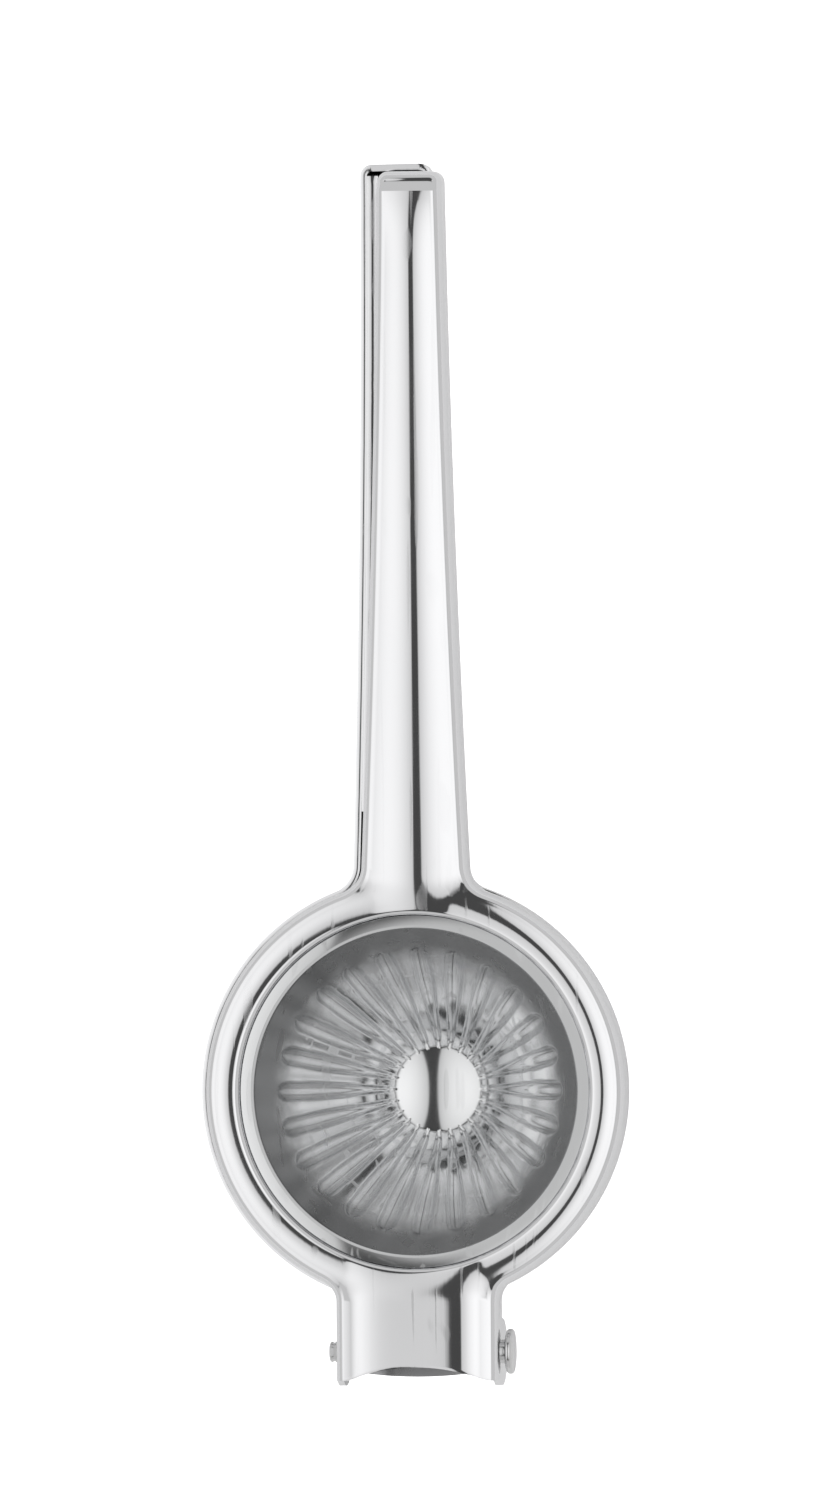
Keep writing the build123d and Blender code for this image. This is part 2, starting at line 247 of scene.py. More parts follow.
def stretched_noise(tree, scale, stretch, detail=3.0):
    """Noise in object space, stretched by a factor on each axis."""
    place = tree.nodes.new("ShaderNodeTexCoord").outputs["Object"]
    mapping = tree.nodes.new("ShaderNodeMapping")
    link(tree, place, mapping.inputs["Vector"])
    mapping.inputs["Scale"].default_value = stretch
    noise = tree.nodes.new("ShaderNodeTexNoise")
    link(tree, mapping.outputs[0], noise.inputs["Vector"])
    link(tree, scale, noise.inputs["Scale"])
    noise.inputs["Detail"].default_value = detail
    return noise.outputs["Fac"]


SCRATCH_LINES = (((1.0, 0.035, 1.0), 0.64), ((0.3, 0.09, 1.0), 0.67))    # stretch and threshold
SCRATCH_EDGE = 0.05            # how softly a scratch ends, in units of the noise
scratches, given, result = new_group("fine_scratches", [("Scale", 900.0), ("Amount", 0.5)], ["Mask"])
found = 0.0
for stretch, threshold in SCRATCH_LINES:
    lines = stretched_noise(scratches, given.outputs["Scale"], stretch, 1.0)
    scratch = smooth_step(scratches, lines, threshold, threshold + SCRATCH_EDGE)
    found = calc(scratches, "MAXIMUM", found, scratch)
link(scratches, calc(scratches, "MULTIPLY", found, given.outputs["Amount"]), result.inputs["Mask"])
print("group", scratches.name, "with", len(scratches.nodes), "nodes")

# %% Shader group: buffing grain
grain, given, result = new_group("buffing_grain", [("Scale", 1600.0)], ["Height"])
link(grain, stretched_noise(grain, given.outputs["Scale"], (1.0, 0.02, 1.0), 2.0), result.inputs["Height"])
print("group", grain.name)

# %% Shader group: handling smudges
SMUDGE_EDGE = (0.35, 0.75)     # a smudge fades in between these levels of the noise
smudge, given, result = new_group("handling_smudges", [("Scale", 60.0), ("Low", 0.05), ("High", 0.12)],
                                  ["Roughness"])
cloud = stretched_noise(smudge, given.outputs["Scale"], (1.0, 0.6, 1.0), 4.0)
spread = calc(smudge, "SUBTRACT", given.outputs["High"], given.outputs["Low"])
mask = smooth_step(smudge, cloud, *SMUDGE_EDGE)
link(smudge, calc(smudge, "ADD", calc(smudge, "MULTIPLY", mask, spread), given.outputs["Low"]),
     result.inputs["Roughness"])
print("group", smudge.name)

# %% [markdown]
# The buffing wheel doesn't reach the cup's wall just below its mouth, so an uneven band there is rougher; its
# colour is also darkened there as painted shade for the dark reflections it shows. It is a mask by distance
# from the cup's own axis, so it stays on the cup in every view.

# %% Painted shade and dull band below the cup's mouth
# the band's colour is darkened to this share as painted shade
BAND_PAINTED_SHADE, BAND_ROUGH = 0.36, 0.08        # share of the colour that is left, and added roughness
BAND_INNER = (23.0 * MM, 28.0 * MM)        # fades in towards the mouth between these radii
BAND_OUTER = (28.7 * MM, 28.9 * MM)        # and ends at the flange's bend
BAND_PATCHES, BAND_WAVER = 260.0, 3.0 * MM


def vector_math(tree, operation, *values):
    """One vector math node; values are sockets or triples. Gives the node back."""
    node = tree.nodes.new("ShaderNodeVectorMath")
    node.operation = operation
    for value, socket in zip(values, node.inputs):
        link(tree, value, socket)
    return node


def dull_and_painted_shade_band(tree):
    """Mask of painted shade and roughness: 1 on the cup's wall between the ribs and the mouth, fading
    unevenly towards the ribs.
    """
    place = tree.nodes.new("ShaderNodeTexCoord").outputs["Object"]
    from_axis = vector_math(tree, "SUBTRACT", place, (ring_centre.x, ring_centre.y, 0))
    flat = vector_math(tree, "MULTIPLY", from_axis.outputs[0], (1, 1, 0))
    radius = vector_math(tree, "LENGTH", flat.outputs[0]).outputs["Value"]
    uneven = calc(tree, "MULTIPLY", stretched_noise(tree, BAND_PATCHES, (1.0, 1.0, 1.0)), BAND_WAVER)
    inner = smooth_step(tree, calc(tree, "ADD", radius, uneven), *BAND_INNER)
    outer = calc(tree, "SUBTRACT", 1.0, smooth_step(tree, radius, *BAND_OUTER))
    return calc(tree, "MULTIPLY", inner, outer)


print("dull band between radii", BAND_INNER[0], "and", BAND_OUTER[1], "m")

# %% [markdown]
# Every piece is steel, but not the same steel. The levers' outside is polished and their inside is duller,
# its tint darkened as painted shade; the cup and the bowl keep fine marks from drawing, and the pin is
# turned.
# One function makes them all, from a tint, two roughnesses and the strengths of the three effects.

# %% Steel
SCRATCH_DULLS = 0.18           # roughness that a scratch adds
GRAIN_SHARE = 0.5              # height of the grain beside that of a scratch
RELIEF = 0.02 * MM             # depth that the bump stands for
TINT_PATCHES, TINT_DARKER = 35.0, 0.94


def use_group(tree, group, **values):
    """Places a shader group in a material with its own values."""
    node = tree.nodes.new("ShaderNodeGroup")
    node.node_tree = group
    for title, value in values.items():
        node.inputs[title].default_value = value
    return node.outputs[0]


def colour_sockets(sockets):
    """The colour sockets of a Mix node, which also has sockets for numbers and vectors."""
    return [socket for socket in sockets if socket.type == "RGBA"]


def steel(name, tint, low, high, bump, scratch_scale, scratch_amount, grain_scale, shade_and_dull_band=None):
    """A polished steel: smudged roughness, grain and scratches as bump, a faintly uneven tint, and an
    optional band of painted shade and added roughness.
    """
    material = bpy.data.materials.new(name)
    material.use_nodes = True
    tree = material.node_tree
    shader = tree.nodes["Principled BSDF"]
    shader.inputs["Metallic"].default_value = 1.0
    marks = use_group(tree, scratches, Scale=scratch_scale, Amount=scratch_amount)
    lines = use_group(tree, grain, Scale=grain_scale)
    rough = use_group(tree, smudge, Low=low, High=high)
    rough = calc(tree, "ADD", rough, calc(tree, "MULTIPLY", marks, SCRATCH_DULLS))
    height = calc(tree, "SUBTRACT", calc(tree, "MULTIPLY", lines, GRAIN_SHARE), marks)
    relief = tree.nodes.new("ShaderNodeBump")
    relief.inputs["Strength"].default_value = bump
    relief.inputs["Distance"].default_value = RELIEF
    link(tree, height, relief.inputs["Height"])
    link(tree, relief.outputs[0], shader.inputs["Normal"])
    shade = tree.nodes.new("ShaderNodeMix")
    shade.data_type = "RGBA"
    link(tree, stretched_noise(tree, TINT_PATCHES, (1.0, 1.0, 1.0)), shade.inputs["Factor"])
    for socket, amount in zip(colour_sockets(shade.inputs), (TINT_DARKER, 1.0)):
        socket.default_value = (*(channel * amount for channel in tint), 1)
    colour = colour_sockets(shade.outputs)[0]
    # the band darkens the colour as painted shade for the dark reflections below the cup's mouth, and adds
    # roughness
    if shade_and_dull_band:
        shade_and_dull = shade_and_dull_band(tree)
        rough = calc(tree, "MULTIPLY_ADD", shade_and_dull, BAND_ROUGH, rough)
        scale = vector_math(tree, "SCALE", colour)
        link(tree, calc(tree, "MULTIPLY_ADD", shade_and_dull, BAND_PAINTED_SHADE - 1.0, 1.0), scale.inputs["Scale"])
        colour = scale.outputs[0]
    link(tree, rough, shader.inputs["Roughness"])
    link(tree, colour, shader.inputs["Base Color"])
    print("material", name, "roughness", low, "to", high)
    return material


polished_sheet = steel("polished_sheet", tint=(0.83, 0.83, 0.84), low=0.035, high=0.075, bump=0.10,
                       scratch_scale=700.0, scratch_amount=0.6, grain_scale=1500.0)
drawn_cup = steel("drawn_cup", tint=(0.77, 0.775, 0.78), low=0.07, high=0.14, bump=0.22,
                  scratch_scale=500.0, scratch_amount=0.8, grain_scale=1100.0, shade_and_dull_band=dull_and_painted_shade_band)
drawn_bowl = steel("drawn_bowl", tint=(0.66, 0.665, 0.67), low=0.10, high=0.20, bump=0.22,
                   scratch_scale=500.0, scratch_amount=0.8, grain_scale=1100.0)
# the inside's dark tint is painted shade for the hollow under the crown; its higher roughness is its duller
# finish
sheet_inside_painted_shade = steel("sheet_inside_painted_shade", tint=(0.34, 0.34, 0.345), low=0.20, high=0.32, bump=0.35,
                     scratch_scale=400.0, scratch_amount=0.9, grain_scale=800.0)
pin_steel = steel("pin_steel", tint=(0.70, 0.70, 0.70), low=0.14, high=0.26, bump=0.30,
                  scratch_scale=500.0, scratch_amount=0.8, grain_scale=900.0)

# %% [markdown]
# ## The sheet levers
#
# A lever is one stamping: a plan outline, a rolled shoulder, a side wall, and a crown that is never
# flat. The crown is what draws the long dark line down a polished handle. Loops parallel to the
# outline make the shoulder and wall, straight rows fill the handle and the hinge block, and radial
# columns fill the ring. One height formula then shapes them all, so no seam shows in the reflection.
# The steps below work in millimetres in the lever's own plan: ring centre at zero, handle along +Y.

# %% Sizes of the stamping
PIN_TO_RING = (ring_centre.y - hinge.y) / MM
SHOULDER = 1.7                 # width of the rolled shoulder in plan
SHOULDER_FALL = 2.5            # its height
CROWN_EDGE = tan(radians(18))  # slope where the crown meets the shoulder
CREST_R = 33.3                 # the ring's highest circle
LIP_FALL = 0.12                # the crown slopes down this far to the rolled lip
LIP_WIDTH = 0.95               # the lip rolls down to the cup's seat over this width
LIP_ROLL = 1.15                # radius of that roll
BLOCK_FALL, BLOCK_SPAN, BLOCK_POWER = 1.1, 12.4, 6.3    # flat across the block, then a quick fall
LIP_FOOT, LIP_UNDERCUT = 1.25, 0.08     # the lip's lower end, a hair inside the cup's seat
SEAT_FALL, SEAT_UNDERCUT = 2.4, 0.1     # the cup's seat below the crest
TIP_CORNER = 2.0               # radii of the outline's bends
NECK_BEND = 5.0
BLOCK_BEND = 4.0
HANDLE_KNOTS = (30.0, 100.0)   # places of the handle's root and middle widths; the third is the tip
HANDLE_CELLS = 24              # cells across the handle
BLOCK_CELLS = 20               # cells across the block
CORNER_STEPS, HANDLE_STEPS, NECK_STEPS, RING_STEPS, BLOCK_STEPS = 6, 78, 10, 56, 9
SHOULDER_STEPS = 9
WALL_STEPS = 7
STRIP = (0.6, 3.2)             # the strip inside the handle's edge runs between these distances from it
STRIP_SUNK = 0.06              # and lies this far behind the edge
STRIP_ENDS_EARLY = 6           # rows left free at the ring
EAR_FIRST = 22.0               # first angle on the ear's round edge, so that rows don't crowd together
EAR_STEPS = 14
print("hinge to ring centre", round(PIN_TO_RING, 2), "mm")


# %% Outline of one side
NECK_GUESS, NECK_ROUNDS = 39.0, 6    # where the neck's bend starts is found in a few rounds from a guess


def handle_half(y, halves, tip_y):
    """Half the handle's width at a place along it, by the curve through its root, middle and tip."""
    knots = (*HANDLE_KNOTS, tip_y)
    total = 0.0
    for index, knot in enumerate(knots):
        others = [other for other in knots if other != knot]
        share = (y - others[0]) * (y - others[1]) / ((knot - others[0]) * (knot - others[1]))
        total += halves[index] * share
    return total


def arc(centre, radius, start, end, steps, outward):
    """Points on an arc in degrees with their outward normals; outward is -1 inside a hollow bend."""
    made = []
    for step in range(1, steps + 1):
        angle = radians(start + (end - start) * step / steps)
        along = (cos(angle), sin(angle))
        made.append((centre[0] + radius * along[0], centre[1] + radius * along[1],
                     outward * along[0], outward * along[1]))
    return made


def half_outline(form):
    """The right side from the tip's middle to the block's end, with the indices where it changes."""
    tip_y, halves, ring_r = form["tip_y"], form["halves"], form["ring_r"]
    tip_half = handle_half(tip_y - TIP_CORNER, halves, tip_y)
    flat = tip_half - TIP_CORNER
    points = [(flat * step / (HANDLE_CELLS // 2), tip_y, 0.0, 1.0) for step in range(HANDLE_CELLS // 2 + 1)]
    points += arc((flat, tip_y - TIP_CORNER), TIP_CORNER, 90, 0, CORNER_STEPS, 1)
    corner = len(points) - 1
    neck_y = NECK_GUESS
    for _ in range(NECK_ROUNDS):
        neck_x = handle_half(neck_y, halves, tip_y) + NECK_BEND
        neck_y = sqrt((ring_r + NECK_BEND) ** 2 - neck_x**2)
    for row in range(1, HANDLE_STEPS + 1):
        y = tip_y - TIP_CORNER + (neck_y - tip_y + TIP_CORNER) * row / HANDLE_STEPS
        points.append((handle_half(y, halves, tip_y), y, 1.0, 0.0))
    neck = len(points) - 1
    toward_ring = degrees(atan2(-neck_y, -neck_x)) % 360
    points += arc((neck_x, neck_y), NECK_BEND, 180, toward_ring, NECK_STEPS, -1)
    block_x = form["block_half"] + BLOCK_BEND
    block_y = -sqrt((ring_r + BLOCK_BEND) ** 2 - block_x**2)
    ring_start, ring_end = degrees(atan2(neck_y, neck_x)), degrees(atan2(block_y, block_x))
    points += arc((0, 0), ring_r, ring_start, ring_end, RING_STEPS, 1)
    toward_block = degrees(atan2(-block_y, -block_x))
    points += arc((block_x, block_y), BLOCK_BEND, toward_block, 180, BLOCK_STEPS, -1)
    block = len(points) - 1
    ear_r = form["ear_r"]
    ear_top = -PIN_TO_RING + ear_r
    levels = [block_y + (ear_top - block_y) * step / 3 for step in (1, 2, 3)]
    last = degrees(acos(-form["overhang"] / ear_r))
    levels += [-PIN_TO_RING + ear_r * cos(radians(EAR_FIRST + (last - EAR_FIRST) * step / EAR_STEPS))
               for step in range(EAR_STEPS + 1)]
    points += [(form["block_half"], y, 1.0, 0.0) for y in levels]
    return points, {"corner": corner, "neck": neck, "block": block, "end": len(points) - 1}


print("outline bends: tip", TIP_CORNER, "neck", NECK_BEND, "block", BLOCK_BEND, "mm")

# %% [markdown]
# The crown's height is one formula for the whole lever: the handle, the ring and the block each have
# a dome, the highest of them counts, and where two meet the corner is rounded. The rolled lip about
# the cup and the bevelled end at the tip are taken off after that.

# %% Height of the crown
HANDLE_FROM, BLOCK_FROM = 20, -20    # along the lever: the two domes end well inside the ring
NO_DOME = 9.0                  # a fall so deep that another dome always counts instead
JOIN_REACH = 1.0               # heights that differ by less than this flow into each other
FACET_LONG, FACET_SLOPE = 3.55, tan(radians(28))     # the crown's bevelled end at the tip
WEDGE_LONG, WEDGE_FLAT = 16.0, 0.72                  # the crown flattens over this stretch, by this share


def soft_least(a, b, reach=JOIN_REACH):
    """The lesser of two heights, with the corner between them rounded."""
    near = max(reach - abs(a - b), 0.0) / reach
    return min(a, b) - near * near * reach / 4


def crown_fall(x, y, form):
    """How far the crown lies below its crest: domes of handle, ring and block, softly joined."""
    radius = hypot(x, y)
    half = max(handle_half(y, form["halves"], form["tip_y"]) - SHOULDER, 1.0) if y > 0 else 1.0
    near_tip = min(max((y - form["tip_y"] + WEDGE_LONG) / (WEDGE_LONG - FACET_LONG), 0.0), 1.0)
    edge_slope = CROWN_EDGE * (1 - WEDGE_FLAT * near_tip**2)
    handle = 0.5 * half * edge_slope * (x / half) ** 2 if y > HANDLE_FROM else NO_DOME
    band = form["ring_r"] - SHOULDER - CREST_R
    ring = 0.5 * band * CROWN_EDGE * (max(radius - CREST_R, 0.0) / band) ** 2
    block = BLOCK_FALL * (abs(x) / form["block_span"]) ** BLOCK_POWER if y < BLOCK_FROM else NO_DOME
    fall = soft_least(soft_least(handle, ring), block)
    lip = max(CREST_R - radius, 0.0) / (CREST_R - form["seat_r"])
    into_roll = min(max(form["seat_r"] + LIP_WIDTH - radius, 0.0), LIP_WIDTH)
    rolled = LIP_ROLL - sqrt(LIP_ROLL**2 - into_roll**2)
    facet = max(y - form["tip_y"] + FACET_LONG, 0.0) * FACET_SLOPE
    return fall + LIP_FALL * min(lip, 1.0) ** 2 + rolled + facet


print("crown slopes", round(degrees(atan2(CROWN_EDGE, 1)), 1), "degrees where it meets the shoulder")

# %% [markdown]
# The side wall hangs straight down from the shoulder and ends in a round ear at each side of the pin.
# A narrow strip is welded flat inside each edge of the handle, where the bare cut sheet would be
# sharp in the hand. It is a sheet of its own, because an edge folded in from the wall gets spikes at
# the tip's small corner when it is given its thickness.

# %% Walls, ears and edge strips
EAR_ONLY = -30                 # only the wall beyond this place can belong to an ear
HAIR = 1e-6                    # rounding error allowed for
LEAST_TONGUE = 0.02            # an ear that passes the block's end by less than this keeps the same point
LEAST_OVERRUN = 0.5            # an ear whose round end passes it by less than this everywhere has none


def wall_foot(y, form):
    """Depth of the side wall's lower edge: straight, with a round ear about the pin."""
    from_pin = y + PIN_TO_RING
    if abs(from_pin) >= form["ear_r"] - HAIR or y > EAR_ONLY:
        return WALL_DEPTH / MM
    return form["pin_depth"] + sqrt(form["ear_r"] ** 2 - from_pin**2)


def wall_and_shoulder(mesh, loop, form):
    """Rows of points along the outline, from the wall's foot up over the shoulder, joined by faces."""
    fall = [crown_fall(x - nx * SHOULDER, y - ny * SHOULDER, form) for x, y, nx, ny in loop]
    ways = []
    for step in range(WALL_STEPS):
        share = step / WALL_STEPS
        ways.append([mesh.verts.new((x, y, -(wall_foot(y, form) * (1 - share)
                                             + (fall[i] + SHOULDER_FALL) * share)))
                     for i, (x, y, _, _) in enumerate(loop)])
    for step in range(SHOULDER_STEPS + 1):
        turn = pi / 2 * step / SHOULDER_STEPS
        inset, depth = SHOULDER * (1 - cos(turn)), SHOULDER_FALL * (1 - sin(turn))
        ways.append([mesh.verts.new((x - nx * inset, y - ny * inset, -(fall[i] + depth)))
                     for i, (x, y, nx, ny) in enumerate(loop)])
    for outer, inner in zip(ways, ways[1:]):
        for i in range(len(loop) - 1):
            mesh.faces.new((outer[i], outer[i + 1], inner[i + 1], inner[i]))
    return ways


def tongue(mesh, column, form):
    """The ear's round end, where it runs past the end of the block."""
    outer = []
    for vert in column:
        from_pin = -vert.co.z - form["pin_depth"]
        beyond = sqrt(max(form["ear_r"] ** 2 - from_pin**2, 0.0)) - form["overhang"]
        passes = beyond > LEAST_TONGUE
        outer.append(mesh.verts.new((vert.co.x, vert.co.y - beyond, vert.co.z)) if passes else vert)
    for corners in zip(column, column[1:], outer[1:], outer):
        around = tuple(dict.fromkeys(corners))
        if len(around) > 2:
            mesh.faces.new(around)


def edge_strip(mesh, feet, side):
    """The strip inside one side of the handle; feet are the points along the wall's foot."""
    pairs = [[mesh.verts.new((foot.co.x - side * inward, foot.co.y, foot.co.z + STRIP_SUNK))
              for inward in STRIP] for foot in feet]
    return [mesh.faces.new((*one, two[1], two[0])) for one, two in zip(pairs, pairs[1:])]


print("edge strip", round(STRIP[1] - STRIP[0], 1), "mm wide")

# %% [markdown]
# The crown is filled in three parts that share their border points: straight rows across the handle,
# straight rows across the block, and radial columns over the ring, which end in the lip and the seat.

# %% Crown in rows and columns
CREST_STEPS, TO_LIP_STEPS, LIP_STEPS = 8, 4, 7


def row_between(mesh, ends, cells, shift, form):
    """A row of points across the crown; shift moves each along the lever."""
    left, right = ends
    row = [left]
    for cell in range(1, cells):
        x = left.co.x + (right.co.x - left.co.x) * cell / cells
        y = left.co.y + shift(x)
        row.append(mesh.verts.new((x, y, -crown_fall(x, y, form))))
    return row + [right]


def join_rows(mesh, rows):
    """Faces between neighbouring rows."""
    for upper, lower in zip(rows, rows[1:]):
        for i in range(len(upper) - 1):
            mesh.faces.new((upper[i], upper[i + 1], lower[i + 1], lower[i]))


def ring_columns(mesh, border, form):
    """Radial columns from the closed border in to the lip, the cup's seat and its hole."""
    roll_r = form["seat_r"] + LIP_WIDTH
    columns = []
    for start in border:
        reach, angle = hypot(start.co.x, start.co.y), atan2(start.co.y, start.co.x)
        radii = [reach + (CREST_R - reach) * step / CREST_STEPS for step in range(1, CREST_STEPS + 1)]
        radii += [CREST_R + (roll_r - CREST_R) * step / TO_LIP_STEPS for step in range(1, TO_LIP_STEPS + 1)]
        radii += [roll_r - LIP_WIDTH * step / LIP_STEPS for step in range(1, LIP_STEPS + 1)]
        column = [start]
        for radius in radii:
            x, y = radius * cos(angle), radius * sin(angle)
            column.append(mesh.verts.new((x, y, -crown_fall(x, y, form))))
        for radius, depth in ((form["seat_r"] - LIP_UNDERCUT, LIP_FOOT),
                              (form["seat_r"] - SEAT_UNDERCUT, SEAT_FALL), (form["hole_r"], SEAT_FALL)):
            column.append(mesh.verts.new((radius * cos(angle), radius * sin(angle), -depth)))
        columns.append(column)
    for one, two in zip(columns, columns[1:] + columns[:1]):
        for i in range(len(one) - 1):
            mesh.faces.new((one[i], one[i + 1], two[i + 1], two[i]))


def relief_of(row_y, top_y, end_y, form):
    """How a row of the block bends along the lever, towards the hollow cut at the block's end."""
    share = (top_y - row_y) / (top_y - end_y)
    return lambda x: share * form["relief"] * max(1 - (x / form["relief_half"]) ** 2, 0.0)


print("ring columns of", 1 + CREST_STEPS + TO_LIP_STEPS + LIP_STEPS + 3, "points")

# %% Stamped lever
def lever_mesh(name, form):
    """Builds the stamping's outside in plan millimetres, with depth below the crown as -Z."""
    half, mark = half_outline(form)
    middle = len(half) - 1
    loop = [(-x, y, -nx, ny) for x, y, nx, ny in reversed(half[1:])] + half
    mesh = bmesh.new()
    ways = wall_and_shoulder(mesh, loop, form)
    feet, rim = ways[0], ways[-1]
    strips = []
    for side in (-1, 1):
        along = range(mark["corner"], mark["neck"] + 1 - STRIP_ENDS_EARLY)
        strips += edge_strip(mesh, [feet[middle + side * k] for k in along], side)
    if form["ear_r"] - form["overhang"] > LEAST_OVERRUN:
        for end in (0, len(loop) - 1):
            tongue(mesh, [way[end] for way in ways[:WALL_STEPS + 1]], form)

    def row(k, cells, shift):
        return row_between(mesh, (rim[middle - k], rim[middle + k]), cells, shift, form)

    tip_span = HANDLE_CELLS // 2
    tip_row = rim[middle - tip_span: middle + tip_span + 1]
    handle_rows = [row(k, HANDLE_CELLS, lambda x: 0.0) for k in range(mark["corner"], mark["neck"] + 1)]
    join_rows(mesh, [tip_row] + handle_rows)
    mesh.faces.new(rim[middle + tip_span: middle + mark["corner"] + 1])
    mesh.faces.new(rim[middle - mark["corner"]: middle - tip_span + 1])
    top_y, end_y = half[mark["block"]][1], half[mark["end"]][1]
    block_rows = [row(k, BLOCK_CELLS, relief_of(half[k][1], top_y, end_y, form))
                  for k in range(mark["block"], mark["end"] + 1)]
    join_rows(mesh, block_rows)
    border = rim[middle + mark["neck"]: middle + mark["block"] + 1]
    border += block_rows[0][-2:0:-1]
    border += rim[middle - mark["block"]: middle - mark["neck"] + 1]
    border += handle_rows[-1][1:-1]
    ring_columns(mesh, border, form)

    bmesh.ops.recalc_face_normals(mesh, faces=mesh.faces)
    top = max(mesh.faces, key=lambda face: face.calc_center_median().z)
    if top.normal.z < 0:
        bmesh.ops.reverse_faces(mesh, faces=mesh.faces)
    mesh.normal_update()
    bmesh.ops.reverse_faces(mesh, faces=[face for face in strips if face.normal.z > 0])
    data = bpy.data.meshes.new(name)
    mesh.to_mesh(data)
    mesh.free()
    return data


print("handle grid", HANDLE_STEPS, "by", HANDLE_CELLS, "cells, block", BLOCK_CELLS, "cells wide")

# %% [markdown]
# The stamping gets its real sheet thickness from a Solidify modifier, which also gives the inside its
# own finish, duller and darkened as painted shade, and a Bevel breaks the cut edges as tumbling does on
# real parts. Both are applied, so that the piece is plain final mesh.

# %% Thickness, broken edges and placing
CUT_EDGE = 0.22 * MM           # width of a broken edge
CUT_ANGLE = 60                 # a bend sharper than this, in degrees, is a cut edge
SHEET_SHARP = 26               # a bend of the sheet up to this, in degrees, is shaded smooth


def finished(data, place, finishes, sharp, thickness=None, edge=None):
    """Places a mesh in the frame, gives a sheet thickness and broken edges, and returns the object.

    A sheet takes two finishes, outside and inside. Bends sharper than sharp degrees show as edges.
    """
    for finish in finishes:
        data.materials.append(finish)
    data.transform(place)
    if place.determinant() < 0:
        data.flip_normals()
    piece = bpy.data.objects.new(data.name, data)
    bpy.context.collection.objects.link(piece)
    if thickness:
        sheet = piece.modifiers.new("sheet", "SOLIDIFY")
        sheet.thickness, sheet.offset, sheet.use_even_offset = thickness, -1.0, True
        sheet.material_offset = len(finishes) - 1
    if edge:
        broken = piece.modifiers.new("broken_edges", "BEVEL")
        broken.width, broken.segments, broken.limit_method = edge, 2, "ANGLE"
        broken.angle_limit = radians(CUT_ANGLE)
    final = bpy.data.meshes.new_from_object(piece.evaluated_get(bpy.context.evaluated_depsgraph_get()))
    piece.modifiers.clear()
    piece.data = final
    final.name = data.name + "_mesh"
    final.shade_smooth()
    final.set_sharp_from_angle(angle=radians(sharp))
    print(piece.name, len(final.polygons), "faces")
    return piece


def place_of(centre, level, turn, down):
    """Plan millimetres into the frame; down is -1 for a crown that faces the floor."""
    return (Matrix.Translation((centre.x, centre.y, level)) @ Matrix.Rotation(turn, 4, "Z")
            @ Matrix.Diagonal((MM, MM, down * MM, 1)))


print("sheet", round(SHEET / MM, 2), "mm, cut edges broken by", round(CUT_EDGE / MM, 2), "mm")

# %% [markdown]
# A lever is described by a short list of its own sizes. Length, ring radius and pin depth come from
# the frame; the rest are the sizes of the stamping that a box can't tell.

# %% Upper lever
upper_form = {
    "tip_y": (upper_hi.y - ring_centre.y) / MM,
    "halves": (9.9, 7.15, 5.75),       # half the handle's width at its root, middle and tip
    "ring_r": (upper_hi.x - upper_lo.x) / 2 / MM,
    "block_half": 14.5,
    "block_span": BLOCK_SPAN,
    "overhang": 5.0,                   # the block ends this far past the pin
    "ear_r": 6.0,
    "pin_depth": (crown_z - hinge.z) / MM,
    "seat_r": 31.2,                    # the cup's flange lies inside this radius
    "hole_r": 30.07,                   # and its wall hangs through this hole
    "relief": 2.4,                     # the block's end is hollowed by this much in its middle
    "relief_half": 12.7,
}
stamped_upper = finished(lever_mesh("stamped_upper_lever", upper_form), place_of(ring_centre, crown_z, 0, 1),
                         (polished_sheet, sheet_inside_painted_shade), SHEET_SHARP, SHEET, CUT_EDGE)
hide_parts("upper_lever")
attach(stamped_upper, "upper")

# %% [markdown]
# The lower lever is the same stamping turned over, a little wider and longer. Loose ears let it sit
# to one side and swing by less than a degree, so a bright sliver of it shows along the handle. Its
# ears are narrower and its block's corners a little shorter, so that the upper block clears them when
# the press is fully open.

# %% Lower lever
SWING = radians(0.75)
LONGER, WIDER = 1.4, 0.5       # at the tip, and on each side
lower_form = dict(upper_form)
lower_form.update({
    "tip_y": upper_form["tip_y"] + LONGER,
    "halves": tuple(half + WIDER for half in upper_form["halves"]),
    "ring_r": upper_form["ring_r"] + WIDER,
    "block_half": 12.5,
    "block_span": BLOCK_SPAN - 2.0,
    "overhang": 3.85,
    "ear_r": 4.3,
    "pin_depth": (hinge.z - lower_lo.z) / MM,
    "seat_r": 31.05,
    "hole_r": 28.95,
    "relief": -0.75,                   # here the middle stands out and the corners stay back
    "relief_half": 10.8,
})
stamped_lower = finished(lever_mesh("stamped_lower_lever", lower_form),
                         place_of(Vector((0, 0, 0)), lower_lo.z, SWING, -1),
                         (polished_sheet, sheet_inside_painted_shade), SHEET_SHARP, SHEET, CUT_EDGE)
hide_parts("lower_lever")
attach(stamped_lower, "lower")

# %% [markdown]
# ## The press cup
#
# The cup is drawn from thin sheet: a straight cone that runs into a round bottom, whose inside is a
# smooth and flatter disc. Twenty-four ribs like fingers are pressed into the wall, narrow beside the
# disc and wide near the mouth. A polar mesh follows the wall, and each rib is a lens-shaped dip with a
# crisp edge, which draws the thin dark outlines. The outside repeats the dip, as pressing does, so the
# sheet stays even.

# %% Wall of the cup
CUP_WALL = 0.9
CAP_R = 14.0
MOUTH_R = 29.5
RIBS = 24
AROUND = RIBS * 24
DISC_R, DISC_BEND = 7.6, 26.0         # the smooth disc is flatter than the round bottom about it
RIB_FROM, RIB_TO = DISC_R, 25.2
RIB_ENDS = (2.0, 1.4)                 # lengths of a rib's round ends, inner and outer
RIB_HALF, RIB_GAINS = 0.60, 1.05      # half its width at the disc, and how much that grows
RIB_GROWS = (8, 21)                   # it grows between these radii
RIB_DEEP = 0.6
RIB_FILLS, RIB_CRISP = 1.3, 0.75      # how soon the full depth is reached, and how crisp the edge is
FLANGE_EDGE = 0.15                    # the flange's broken edge
MOUTH_DROP = 1.0                      # the wall ends this far below the flange's rim
MOUTH_BEND = ((0.23, 0.20), (0.51, 0.34))    # two points of the soft bend from wall to flange
